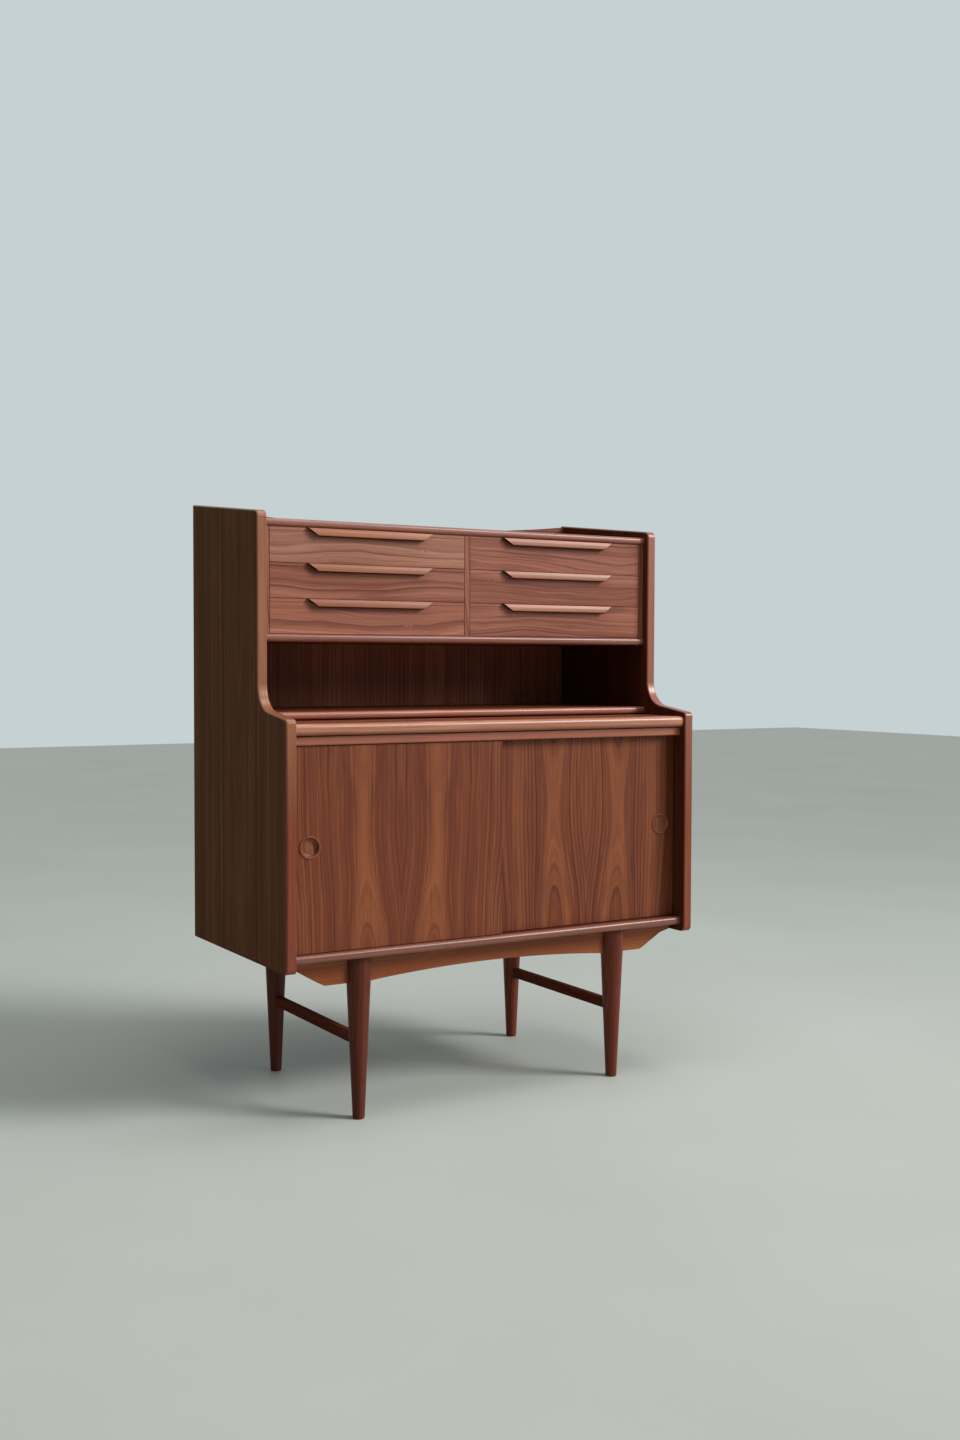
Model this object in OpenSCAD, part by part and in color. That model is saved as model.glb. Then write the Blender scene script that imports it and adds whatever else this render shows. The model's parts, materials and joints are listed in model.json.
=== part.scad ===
// Secretary chest in teak: six small drawers over an open niche, a pull-out writing
// slab, and a cabinet with two by-pass sliding doors, on a base with four turned legs.
// The frame is +Z up with the front at -Y, and the origin is on the floor under the middle.
// Depths named "..._d" are measured forwards from the back of the sides.

/* [Overall] */
// Width over the sides
width = 890; // [740:1:1100]
// Depth over the lower cabinet
depth = 452; // [430:1:600]
// Depth of the sides beside the drawers and the niche
upper_depth = 324; // [300:1:340]
// Thickness of the side panels
side_t = 19; // [16:0.5:25]

/* [Heights, from the floor up] */
// Floor to the underside of the side panels
leg_space = 286; // [200:1:350]
// How far the base board lies above the underside of the sides
base_rise = 13.5; // [8:0.5:25]
// Thickness of the base board and its rail
base_t = 15.5; // [12:0.5:22]
// Height of the door opening
door_opening_h = 369; // [300:1:460]
// Height of the rail over the doors
head_rail_h = 16.5; // [14:0.5:25]
// Thickness of the board over the doors
head_board_t = 12.5; // [12:0.5:13]
// Clear height between the rail over the doors and the writing slab
slab_lift = 3; // [1:0.5:5]
// Thickness of the writing slab
slab_t = 19; // [15:0.5:24]
// Clear height between the writing slab and the niche floor
slab_headroom = 2; // [1:0.5:5]
// Thickness of the niche floor
niche_floor_t = 14; // [12:0.5:20]
// Height of the open niche
niche_h = 128.5; // [100:0.5:200]
// Thickness of the case floor under the drawers
case_floor_t = 14.5; // [12:0.5:20]
// Height that each drawer takes
drawer_pitch = 64.8; // [58:0.1:90]
// Thickness of the top board
top_t = 14.5; // [12:0.5:20]
// How far the sides stand above the top board at the back
gallery_rise = 47.6; // [45:0.1:70]

/* [Side outline] */
// Fall of the top edge towards the front, in degrees
top_fall = 6.4; // [3:0.1:7]
// Fall of the shoulder towards the front, in degrees
shoulder_fall = 8; // [4:0.5:12]
// Height of the shoulder's front end above the writing slab
shoulder_above_slab = 8; // [4:0.5:20]
// Radius of the hollow curve between the upper front edge and the shoulder
cove_r = 50; // [30:1:60]
// Radius of the lower front corners
foot_r = 11; // [8:0.5:15]
// Radius of the shoulder's front corner
shoulder_r = 9.5; // [8:0.5:15]
// Radius of the upper front corner
top_corner_r = 13; // [8:0.5:15]
// Thickness of the solid lipping
lipping_t = 7; // [4:0.5:7.5]

/* [Rails] */
// Front of the rails over and under the drawers, behind the upper front of the sides
case_rail_setback = 13; // [4:0.5:15]
// Front of the rail at the niche floor, behind the upper front of the sides
niche_rail_setback = 9; // [2:0.5:13]
// Depth of the two case rails and the niche rail, front to back
rail_t = 9; // [8:0.5:12]
// Front of the rail over the doors, behind the front of the sides
head_rail_setback = 17.5; // [15:0.5:30]
// Front of the rail under the doors, behind the front of the sides
base_rail_setback = 11.5; // [8:0.5:14]
// Front of the writing slab's lip, behind the front of the sides
slab_lip_setback = 5.5; // [3:0.5:12]
// Front of the left door, behind the front of the rail over the doors
door_setback = 5.3; // [4:0.1:8]
// Front of the door tracks, behind the front of the left door
track_setback = 2.2; // [1:0.1:3]
// Depth of the writing slab's lip
slab_lip_t = 14.5; // [10:0.5:25]
// Gap between the writing slab's lip and the rail under it
slab_lip_gap = 1; // [0.5:0.1:1]
// Radius of the rounded rail edges
rail_r = 6; // [3:0.5:7]
// Radius of the writing slab's front edges
slab_r = 8; // [3:0.5:9]

/* [Back and gallery] */
// Thickness of the back panels
back_t = 5; // [4:0.5:8]
// Distance of the back panels from the rear edge of the sides
back_inset = 0.5; // [0:0.1:2]
// Width of the rebate that takes the back panels in each side
back_rebate = 8; // [4:0.5:12]
// Thickness of the gallery strip
gallery_t = 10; // [8:0.5:16]
// How far the gallery stays below the sides at its ends
gallery_drop = 3.5; // [1:0.5:8]
// How much lower the gallery is in the middle than at its ends
gallery_dip = 24; // [10:1:32]

/* [Drawers] */
// Thickness of the walls at the outer sides of the drawers
case_wall_t = 11; // [9:0.5:18]
// Thickness of the divider between the two columns
divider_t = 11; // [9:0.5:18]
// How far the drawer fronts lie behind the rails over and under them
drawer_setback = 4; // [2:0.5:10]
// Gap around each drawer front, on each side
front_gap = 1; // [0.5:0.1:2]
// Gap between two drawer fronts
row_gap = 1; // [0.6:0.1:2]
// Thickness of the drawer fronts
front_t = 16; // [12:0.5:20]
// Height of the solid strip on top of each drawer front
strip_h = 6.5; // [5:0.5:7]
// Room behind the drawer boxes
box_back_gap = 17.5; // [5:0.5:80]
// Thickness of the drawer sides
box_side_t = 12; // [10:0.5:15]
// How far the drawer sides' upper edge lies below the front's
box_drop = 8.8; // [8:0.1:14]
// How far the drawer sides' lower edge lies above the front's
box_lift = 5; // [3:0.5:8]
// Thickness of the drawer backs
box_back_t = 10; // [8:0.5:14]
// Thickness of the plywood drawer bottoms
bottom_t = 4; // [3:0.5:6]
// Depth of the groove that holds a drawer bottom
bottom_groove = 4; // [3:0.5:4.5]
// Height of a drawer runner
runner_h = 10; // [8:0.5:14]
// How far a runner stands out from its wall
runner_w = 6.5; // [5:0.5:7]
// Clearance between a runner and its groove
runner_gap = 0.4; // [0.2:0.1:0.8]

/* [Drawer pulls] */
// Length of a pull along its upper edge
pull_top_w = 262; // [180:1:300]
// Length of a pull along its lower edge
pull_low_w = 218; // [140:1:260]
// Height of a pull
pull_h = 15.5; // [12:0.5:20]
// How far a pull stands out along its upper edge
pull_top_out = 7.5; // [5:0.5:9]
// How far a pull stands out along its lower edge
pull_low_out = 10.5; // [9:0.5:12]
// Thickness of the lip at its lower edge
pull_lip_t = 4.5; // [3.5:0.5:6]

/* [Doors] */
// Thickness of the doors
door_t = 12; // [12:0.5:14]
// How far the two doors overlap
door_overlap = 13; // [8:1:40]
// Gap between the two doors, front to back
door_gap = 2.2; // [2:0.1:3]
// Gap between a door and the sides, the head and the base
door_clear = 1; // [0.5:0.1:2]
// Thickness of the tongues on the doors
tongue_t = 5; // [4:0.5:6]
// How far a lower tongue reaches into its track
tongue_low = 5; // [3:0.5:6]
// How far an upper tongue reaches into its track
tongue_high = 4.5; // [3:0.5:5]
// Width of a track groove beyond its tongue
track_gap = 1; // [0.6:0.1:1.5]
// Depth of the tracks, front to back
track_w = 27; // [26:0.5:32]
// Radius of a ring pull's rim
ring_r = 20.5; // [18:0.5:26]
// Width of a ring pull's rim
ring_rim_w = 3; // [2:0.5:4]
// How far a ring pull stands out from its door
ring_proud = 1.5; // [1:0.1:1.6]
// Depth of a ring pull's dish below the door's face
ring_dish = 6; // [4:0.5:7]
// Distance of a ring pull's centre from the side
ring_inset = 34.7; // [30:0.1:60]

/* [Shelf] */
// Height of the shelf above the base board
shelf_rise = 175; // [100:1:240]
// Thickness of the shelf
shelf_t = 16; // [12:0.5:20]
// Distance of the shelf's front edge behind the doors
shelf_setback = 16; // [5:1:60]
// Radius of the shelf pins
pin_r = 3; // [2.5:0.5:4]
// How far a shelf pin stands out from its side
pin_out = 8; // [6:0.5:12]
// How deep a shelf pin sits in its side
pin_in = 10; // [6:0.5:11]

/* [Base] */
// Distance of the leg centres from the outer faces of the sides
leg_inset_side = 162.5; // [100:0.5:200]
// Distance of the front leg centres from the front of the sides
leg_inset_front = 50; // [45:0.5:80]
// Distance of the back leg centres from the back
leg_inset_back = 24.5; // [24.5:0.5:60]
// Radius of a leg at its top
leg_top_r = 24.3; // [20:0.1:24.4]
// Radius of a leg at the floor
leg_foot_r = 11; // [9:0.1:15]
// How far an apron's outer face lies outside the leg centres
apron_out = 2; // [0:0.5:6]
// Thickness of the aprons
apron_t = 26; // [20:0.5:30]
// Height of the aprons at the legs
apron_h = 49; // [40:0.5:60]
// Rise of the arch between the legs
arch_rise = 12.5; // [5:0.5:20]
// Width of a stretcher
stretcher_w = 12; // [8:0.5:18]
// Height of a stretcher
stretcher_h = 20; // [14:0.5:30]
// Height of a stretcher's middle above the floor
stretcher_z = 144.5; // [100:0.5:170]

/* [Travel] */
// How far the writing slab pulls out
slab_travel = 260; // [150:5:270]

/* [Hidden] */
$fn = 64;
arc_step = 7.5;      // degrees of arc for each straight stretch of an outline
eps = 0.5;           // how far a cutting body reaches past the surface that it cuts
ROWS = 3;
SIDES = [-1, 1];     // left and right
SIDE_NAMES = ["left", "right"];
ROW_NAMES = ["lower", "middle", "upper"];
DRAWER_PIECES = ["_front", "_pull", "_box"];
function drawer_name(s, row) = str("drawer_", SIDE_NAMES[s], "_", ROW_NAMES[row]);

// Heights
base_z = leg_space + base_rise;
base_top_z = base_z + base_t;
head_z = base_top_z + door_opening_h;
head_board_top_z = head_z + head_board_t;
slab_lip_z = head_z + head_rail_h + slab_lip_gap;
slab_z = head_z + head_rail_h + slab_lift;
slab_top_z = slab_z + slab_t;
niche_floor_z = slab_top_z + slab_headroom;
niche_z = niche_floor_z + niche_floor_t;
case_floor_z = niche_z + niche_h;
case_z = case_floor_z + case_floor_t;
case_top_z = case_z + ROWS * drawer_pitch;
top_z = case_top_z + top_t;
side_top_z = top_z + gallery_rise;
shelf_z = base_top_z + shelf_rise;

// Widths and heights of the pieces
inner_w = width - 2 * side_t;
opening_w = (inner_w - 2 * case_wall_t - divider_t) / 2;
front_w = opening_w - 2 * front_gap;
front_h = drawer_pitch - row_gap;
box_h = front_h - box_lift - box_drop;
door_w = (inner_w + door_overlap) / 2 - door_clear / 2;
leg_x = width / 2 - leg_inset_side;

// Depths
back_d = back_inset + back_t;
case_rail_d = upper_depth - case_rail_setback;
niche_rail_d = upper_depth - niche_rail_setback;
drawer_face_d = case_rail_d - drawer_setback;
rail_back_d = case_rail_d - rail_t;
niche_rail_back_d = niche_rail_d - rail_t;
head_rail_d = depth - head_rail_setback;
base_rail_d = depth - base_rail_setback;
slab_lip_d = depth - slab_lip_setback;
front_door_d = head_rail_d - door_setback;
rear_door_d = front_door_d - door_t - door_gap;
track_front_d = front_door_d - track_setback;
track_back_d = track_front_d - track_w;
box_front_d = drawer_face_d - front_t;
box_back_d = back_d + box_back_gap;
leg_front_d = depth - leg_inset_front;
leg_back_d = leg_inset_back;
front_apron_d = leg_front_d + apron_out;
rear_apron_d = leg_back_d - apron_out;

teak = "#8c4f36";
teak_light = "#a8673f";
teak_dark = "#6f3b28";
beech = "#c9a57c";
steel = "#a9a9a6";

// --- helpers -------------------------------------------------------------------------------

// Y of a plane that lies d in front of the back
function at(d) = depth / 2 - d;

// Y range of a piece that reaches from back to front
function span(back, front) = [at(front), at(back)];

function unit(v) = v / norm(v);
function wrapped(angle) = angle > 180 ? angle - 360 : angle < -180 ? angle + 360 : angle;

// The points that replace corner b, between a and c, when it is rounded with radius r
function round_corner(a, b, c, r) =
    let(
        u = unit(a - b),
        v = unit(c - b),
        half = acos(u * v) / 2,
        centre = b + unit(u + v) * r / sin(half),
        start = b + u * r / tan(half) - centre,
        end = b + v * r / tan(half) - centre,
        from = atan2(start.y, start.x),
        sweep = wrapped(atan2(end.y, end.x) - from),
        steps = max(2, ceil(abs(sweep) / arc_step))
    )
    [for (i = [0:steps]) centre + r * [cos(from + sweep * i / steps), sin(from + sweep * i / steps)]];

// Outline through corners given as [x, y, radius]
function rounded(corners) =
    let(n = len(corners), flat = [for (c = corners) [c[0], c[1]]])
    [for (i = [0:n - 1])
        each corners[i][2] == 0
            ? [flat[i]]
            : round_corner(flat[(i + n - 1) % n], flat[i], flat[(i + 1) % n], corners[i][2])];

module block(x, y, z) {
    translate([x[0], y[0], z[0]]) cube([x[1] - x[0], y[1] - y[0], z[1] - z[0]]);
}

// Extrudes an outline drawn in [Y, Z] over a range of X
module along_x(x) {
    translate([x[0], 0, 0]) rotate([90, 0, 90]) linear_extrude(x[1] - x[0]) children();
}

// Extrudes an outline drawn in [X, Z] over a range of Y
module along_y(y) {
    translate([0, y[1], 0]) rotate([90, 0, 0]) linear_extrude(y[1] - y[0]) children();
}

// A strip across the cabinet with its two front edges rounded
module nosing(x, back, front, z, r) {
    along_x(x) polygon(rounded([
        [at(back), z[0], 0],
        [at(front), z[0], r],
        [at(front), z[1], r],
        [at(back), z[1], 0],
    ]));
}

// --- sides ---------------------------------------------------------------------------------

function side_x(side) = side < 0 ? [-width / 2, -inner_w / 2] : [inner_w / 2, width / 2];
function full_x() = [-inner_w / 2, inner_w / 2];

// Height of the top edge and of the shoulder at a depth, drawn inwards by inset
function top_edge_z(d, inset) = side_top_z - d * tan(top_fall) - inset / cos(top_fall);
function shoulder_z(d, inset) =
    slab_top_z + shoulder_above_slab + (depth - d) * tan(shoulder_fall) - inset / cos(shoulder_fall);

// Corners in [Y, Z, radius] from the top of the back to the shoulder's front, with the front
// and top edges drawn in by inset
function side_corners(inset) =
    let(upper = upper_depth - inset, lower = depth - inset)
    [
        [at(0), top_edge_z(0, inset), 0],
        [at(upper), top_edge_z(upper, inset), top_corner_r - inset],
        [at(upper), shoulder_z(upper, inset), cove_r + inset],
        [at(lower), shoulder_z(lower, inset), shoulder_r - inset],
    ];

// Part of the rounding at the bottom of the front, as corners of radius 0. It starts at the
// front, at 180 degrees, and ends underneath, at 270. The lipping's inner face meets it at
// lipping_foot_angle
foot_steps = 6;
lipping_foot_angle = 360 - acos((lipping_t - foot_r) / foot_r);
function foot_arc(from, to) =
    let(y = at(depth - foot_r), z = leg_space + foot_r)
    [for (i = [0:foot_steps])
        let(angle = from + (to - from) * i / foot_steps)
        [y + foot_r * cos(angle), z + foot_r * sin(angle), 0]];

function reversed(list) = [for (i = [len(list) - 1:-1:0]) list[i]];

pin_from_back = 60;
pin_from_track = 70;

// The four shelf pins, two in each side
module shelf_pins_at(sides) {
    for (side = sides, d = [pin_from_back, track_back_d - pin_from_track])
        translate([side * (inner_w / 2 - pin_out), at(d), shelf_z - pin_r])
            rotate([0, side * 90, 0]) cylinder(r = pin_r, h = pin_out + pin_in);
}

module side(side) {
    rebate_x = side * (inner_w / 2 + back_rebate / 2 - eps / 2);
    rebate_half = (back_rebate + eps) / 2;
    color(teak) difference() {
        along_x(side_x(side)) polygon(rounded(concat(
            [[at(0), leg_space, 0]],
            side_corners(lipping_t),
            foot_arc(lipping_foot_angle, 270)
        )));
        block(
            [rebate_x - rebate_half, rebate_x + rebate_half],
            [at(back_d), at(-eps)],
            [base_z, top_z]
        );
        shelf_pins_at([side]);
    }
}

module side_lipping(side) {
    corners = concat(
        side_corners(0),
        foot_arc(180, lipping_foot_angle),
        reversed(side_corners(lipping_t))
    );
    color(teak_light) along_x(side_x(side)) polygon(rounded(corners));
}

// --- drawer case and niche -----------------------------------------------------------------

module top_board() {
    color(teak) block(full_x(), span(back_d, rail_back_d), [case_top_z, top_z]);
}

module top_rail() {
    color(teak_dark) nosing(full_x(), rail_back_d, case_rail_d, [case_top_z, top_z], rail_r);
}

module back_gallery() {
    end_z = side_top_z - gallery_drop;
    half = inner_w / 2;
    steps = 24;
    curve = [for (i = [steps:-1:-steps]) [half * i / steps, end_z - gallery_dip * (1 - pow(i / steps, 2))]];
    color(teak) along_y(span(0, gallery_t)) polygon(concat([[-half, top_z], [half, top_z]], curve));
}

module case_wall(side) {
    inner = inner_w / 2 - case_wall_t;
    x = side < 0 ? [-inner_w / 2, -inner] : [inner, inner_w / 2];
    color(teak) block(x, span(back_d, drawer_face_d), [case_z, case_top_z]);
}

module case_divider() {
    color(teak) block([-divider_t / 2, divider_t / 2], span(back_d, drawer_face_d), [case_z, case_top_z]);
}

module case_floor() {
    color(teak) block(full_x(), span(back_d, rail_back_d), [case_floor_z, case_z]);
}

module case_floor_rail() {
    color(teak_dark) nosing(full_x(), rail_back_d, case_rail_d, [case_floor_z, case_z], rail_r);
}

module niche_floor() {
    color(teak) block(full_x(), span(back_d, niche_rail_back_d), [niche_floor_z, niche_z]);
}

module niche_rail() {
    color(teak_dark) nosing(full_x(), niche_rail_back_d, niche_rail_d, [niche_floor_z, niche_z], rail_r);
}

module back_panel(z) {
    half = inner_w / 2 + back_rebate;
    color(teak_dark) block([-half, half], span(back_inset, back_d), z);
}

back_joint_z = niche_floor_z + niche_floor_t / 2;

// --- writing slab --------------------------------------------------------------------------

slab_x = [-inner_w / 2 + door_clear, inner_w / 2 - door_clear];
slab_runner_w = 20;
slab_rest_gap = 0.3;     // the slab's clearance over its runners
slab_back_gap = 10;      // room between the slab and the back panel
slab_stop_w = 20;
slab_stop_h = 6.5;
slab_stop_side_gap = 6;
slab_stop_slack = 0.5;   // room left to the rail at the end of the travel
slab_stop_d = track_front_d - slab_travel - slab_stop_slack;

module slab_runners() {
    inner = inner_w / 2 - slab_runner_w;
    color(beech) for (side = SIDES) {
        x = side < 0 ? [-inner_w / 2, -inner] : [inner, inner_w / 2];
        block(x, span(back_d, track_front_d), [head_board_top_z, slab_z - slab_rest_gap]);
    }
}

module writing_slab() {
    color(teak) block(slab_x, span(back_d + slab_back_gap, slab_lip_d - slab_lip_t), [slab_z, slab_top_z]);
}

module slab_lip() {
    color(teak_light) nosing(slab_x, slab_lip_d - slab_lip_t, slab_lip_d, [slab_lip_z, slab_top_z], slab_r);
}

module slab_stop() {
    half = inner_w / 2 - slab_runner_w - slab_stop_side_gap;
    y = span(slab_stop_d - slab_stop_w, slab_stop_d);
    color(beech) block([-half, half], y, [slab_z - slab_stop_h, slab_z]);
}

// --- door cabinet --------------------------------------------------------------------------

track_floor_gap = 0.3;   // the doors ride just off the bottom of their grooves
upper_groove = 10.5;     // deep enough to lift a door out

module track_grooves(z) {
    for (front = [front_door_d, rear_door_d]) {
        middle = front - door_t / 2;
        half = (tongue_t + track_gap) / 2;
        block([-inner_w / 2 - eps, inner_w / 2 + eps], span(middle - half, middle + half), z);
    }
}

module head_board() {
    color(teak) block(full_x(), span(back_d, track_back_d), [head_z, head_board_top_z]);
}

module head_rail() {
    z = [head_z, head_z + head_rail_h];
    color(teak_dark) nosing(full_x(), track_front_d, head_rail_d, z, rail_r / 2);
}

module head_track() {
    color(beech) difference() {
        block(full_x(), span(track_back_d, track_front_d), [head_z, head_board_top_z]);
        track_grooves([head_z - eps, head_z + upper_groove]);
    }
}

screw_r = 2;
screw_head_r = 4;
screw_head_h = 2.5;
screw_len = 35;
screw_slot_w = 1;
screw_slot_deep = 1;
screw_slack = 0.1;       // clearance around a screw in its hole
screw_inset = 76;        // from the sides to the outermost screws
screw_x = [for (share = [-1, -1 / 3, 1 / 3, 1]) share * (inner_w / 2 - screw_inset)];
screw_d = [front_apron_d - apron_t / 2, rear_apron_d + apron_t / 2];

// One countersunk screw with its head level with z = 0, or its hole when slack is given
module screw_body(slack) {
    shank = screw_r + slack;
    head = screw_head_r + slack;
    rotate_extrude() polygon(concat(
        [[0, -screw_len], [shank, -screw_len], [shank, -screw_head_h - slack], [head, -slack]],
        slack > 0 ? [[head, eps], [0, eps]] : [[0, 0]]
    ));
}

module at_screws() {
    for (x = screw_x, d = screw_d) translate([x, at(d), base_top_z]) children();
}

module base_screws() {
    color(steel) at_screws() difference() {
        screw_body(0);
        block(
            [-screw_head_r, screw_head_r],
            [-screw_slot_w / 2, screw_slot_w / 2],
            [-screw_slot_deep, eps]
        );
    }
}

module base_board() {
    color(teak) difference() {
        block(full_x(), span(back_d, track_back_d), [base_z, base_top_z]);
        at_screws() screw_body(screw_slack);
    }
}

module base_rail() {
    color(teak_dark) nosing(full_x(), track_front_d, base_rail_d, [base_z, base_top_z], rail_r);
}

module base_track() {
    color(beech) difference() {
        block(full_x(), span(track_back_d, track_front_d), [base_z, base_top_z]);
        track_grooves([base_top_z - tongue_low - track_floor_gap, base_top_z + eps]);
    }
}

shelf_side_gap = 1;
shelf_back_gap = 2;

module shelf() {
    half = inner_w / 2 - shelf_side_gap;
    front = rear_door_d - door_t - shelf_setback;
    color(teak) block([-half, half], span(back_d + shelf_back_gap, front), [shelf_z, shelf_z + shelf_t]);
}

module shelf_pins() {
    color(steel) shelf_pins_at(SIDES);
}

// --- sliding doors -------------------------------------------------------------------------

function door_face_d(side) = side < 0 ? front_door_d : rear_door_d;
function door_x(side) =
    let(outer = inner_w / 2 - door_clear / 2)
    side < 0 ? [-outer, -outer + door_w] : [outer - door_w, outer];

ring_flange = 1.5;       // how far the rim covers the edge of its hole
ring_floor_t = 2;        // thickness under the dish
ring_seat_slack = 0.1;
ring_above_middle = 4.7;
ring_seat_r = ring_r - ring_flange;
ring_seat_deep = ring_dish + ring_floor_t;
ring_z = (base_top_z + head_z) / 2 + ring_above_middle;

// Places something that is drawn around the Z axis, its front up, at a ring pull
module at_ring(side) {
    x = side * (inner_w / 2 - ring_inset);
    translate([x, at(door_face_d(side)), ring_z]) rotate([90, 0, 0]) children();
}

module door(side) {
    x = door_x(side);
    face = door_face_d(side);
    middle = face - door_t / 2;
    z = [base_top_z + door_clear, head_z - door_clear];
    tongue_z = [base_top_z - tongue_low, head_z + tongue_high];
    color(teak) difference() {
        union() {
            block(x, span(face - door_t, face), z);
            block(x, span(middle - tongue_t / 2, middle + tongue_t / 2), tongue_z);
        }
        at_ring(side) translate([0, 0, -ring_seat_deep - ring_seat_slack])
            cylinder(r = ring_seat_r + ring_seat_slack, h = ring_seat_deep + 1);
    }
}

// A turned ring: a rounded rim that stands out, and a dish with a hollow edge
module door_ring(side) {
    dish_r = ring_r - ring_rim_w;
    dish_floor_r = dish_r - 2;
    color(teak_light) at_ring(side) rotate_extrude() polygon(rounded([
        [0, -ring_seat_deep, 0],
        [ring_seat_r, -ring_seat_deep, 0],
        [ring_seat_r, 0, 0],
        [ring_r, 0, 0],
        [ring_r, ring_proud, 0.8],
        [dish_r, ring_proud, 1],
        [dish_floor_r, -ring_dish, 4],
        [0, -ring_dish, 0],
    ]));
}

// --- drawers -------------------------------------------------------------------------------

function drawer_middle(side) = side * (divider_t + opening_w) / 2;
function drawer_z(row) = case_z + row * drawer_pitch + row_gap / 2;
function drawer_x(side) = [drawer_middle(side) - front_w / 2, drawer_middle(side) + front_w / 2];
function runner_z(row) = drawer_z(row) + box_lift + box_h / 2;

glue_line = 0.1;         // gap in the joints of a drawer box
bottom_rise = 4;         // a drawer side's lower edge to its bottom's groove
back_below = 4;          // a drawer back's upper edge below the sides'
groove_stop = 12;        // a runner groove ends this far behind the front
runner_stop = 14;        // a runner ends this far behind the front
pull_seat = 1;           // how far a lip reaches back into its strip

module drawer_front(side, row) {
    z = drawer_z(row);
    color(teak) block(drawer_x(side), span(box_front_d, drawer_face_d), [z, z + front_h - strip_h]);
}

// Strip along the top of a front, with the mitred lip that the fingers pull on
module drawer_pull(side, row) {
    top = drawer_z(row) + front_h;
    middle = drawer_middle(side);
    face = drawer_face_d;
    low = top - pull_h;
    color(teak_light) union() {
        block(drawer_x(side), span(box_front_d, face), [top - strip_h, top]);
        intersection() {
            along_x([middle - pull_top_w / 2, middle + pull_top_w / 2]) polygon(rounded([
                [at(face - pull_seat), top, 0],
                [at(face - pull_seat), top - strip_h, 0],
                [at(face), top - strip_h, 0],
                [at(face + pull_low_out - pull_lip_t), low, 1.2],
                [at(face + pull_low_out), low, 2.5],
                [at(face + pull_top_out), top, 1.5],
            ]));
            along_y(span(face - pull_seat - eps, face + pull_low_out + eps)) polygon([
                [middle - pull_top_w / 2, top],
                [middle - pull_low_w / 2, low],
                [middle + pull_low_w / 2, low],
                [middle + pull_top_w / 2, top],
            ]);
        }
    }
}

// Drawer sides, with the runner's groove outside and the bottom's groove inside. It is drawn
// for the right-hand side of a drawer whose middle is x = 0, and mirrored for the other.
module box_sides(row) {
    z = drawer_z(row) + box_lift;
    outer = front_w / 2;
    inner = outer - box_side_t;
    y = span(box_back_d, box_front_d);
    past_y = [y[0] - eps, y[1] + eps];
    runner_groove = [outer - (runner_w - front_gap) - runner_gap, outer + eps];
    runner_half = runner_h / 2 + runner_gap;
    for (flip = [0, 1]) mirror([flip, 0, 0]) difference() {
        block([inner, outer], y, [z, z + box_h]);
        block(
            runner_groove,
            [y[0] + groove_stop, past_y[1]],
            [runner_z(row) - runner_half, runner_z(row) + runner_half]
        );
        block([inner - eps, inner + bottom_groove], past_y, [z + bottom_rise, z + bottom_rise + bottom_t]);
    }
}

// Two grooved sides, the back and the plywood bottom, as separate solids
module drawer_box(side, row) {
    bottom_z = drawer_z(row) + box_lift + bottom_rise;
    inner = front_w / 2 - box_side_t - glue_line;
    bottom_half = inner + bottom_groove;
    y = span(box_back_d, box_front_d);
    color(beech) translate([drawer_middle(side), 0, 0]) {
        box_sides(row);
        block([-bottom_half, bottom_half], y, [bottom_z + glue_line, bottom_z + bottom_t - glue_line]);
        block(
            [-inner, inner],
            [y[1] - box_back_t, y[1]],
            [bottom_z + bottom_t, bottom_z - bottom_rise + box_h - back_below]
        );
    }
}

module drawer_runners() {
    color(beech) for (side = SIDES, row = [0:ROWS - 1], end = SIDES) {
        wall = drawer_middle(side) + end * opening_w / 2;
        x = end < 0 ? [wall, wall + runner_w] : [wall - runner_w, wall];
        z = runner_z(row);
        block(x, span(back_d, box_front_d - runner_stop), [z - runner_h / 2, z + runner_h / 2]);
    }
}

// --- base ----------------------------------------------------------------------------------

apron_z = base_z - apron_h;
apron_flat_in = 24.5;    // the apron's lower edge is level this far inwards of a leg's centre
apron_flat_out = 69.5;   // and this far outwards
apron_tip_r = 14;        // there its lower edge starts to rise
apron_knee_in = 24;      // from the sides to the curve under them
apron_knee_down = 6;     // how far that curve lies below the sides
apron_knee_r = 30;
foot_round = 2.5;
tenon = 8;               // how far a stretcher reaches into a leg
leg_r_at_stretcher = leg_foot_r + (leg_top_r - leg_foot_r) * stretcher_z / base_z;

// Lower edge: a shallow arch between the legs, level at the legs, then rising to the sides
function arch_curve() =
    let(half = leg_x - apron_flat_in, steps = 20)
    [for (i = [-steps:steps]) [half * i / steps, apron_z + arch_rise * (1 - pow(i / steps, 2)), 0]];

module apron(y) {
    half = inner_w / 2;
    tip = leg_x + apron_flat_out;
    knee = half - apron_knee_in;
    knee_z = leg_space - apron_knee_down;
    color(teak_light) difference() {
        along_y(y) polygon(rounded(concat(
            [[half, leg_space, 0], [half, base_z, 0], [-half, base_z, 0], [-half, leg_space, 0]],
            [[-knee, knee_z, apron_knee_r], [-tip, apron_z, apron_tip_r]],
            arch_curve(),
            [[tip, apron_z, apron_tip_r], [knee, knee_z, apron_knee_r]]
        )));
        at_screws() screw_body(screw_slack);
    }
}

module front_apron() {
    apron(span(front_apron_d - apron_t, front_apron_d));
}

module rear_apron() {
    apron(span(rear_apron_d, rear_apron_d + apron_t));
}

function stretcher_x(side) = [side * leg_x - stretcher_w / 2, side * leg_x + stretcher_w / 2];

module stretcher(side) {
    reach = leg_r_at_stretcher - tenon;
    z = [stretcher_z - stretcher_h / 2, stretcher_z + stretcher_h / 2];
    color(teak) block(stretcher_x(side), span(leg_back_d + reach, leg_front_d - reach), z);
}

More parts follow.
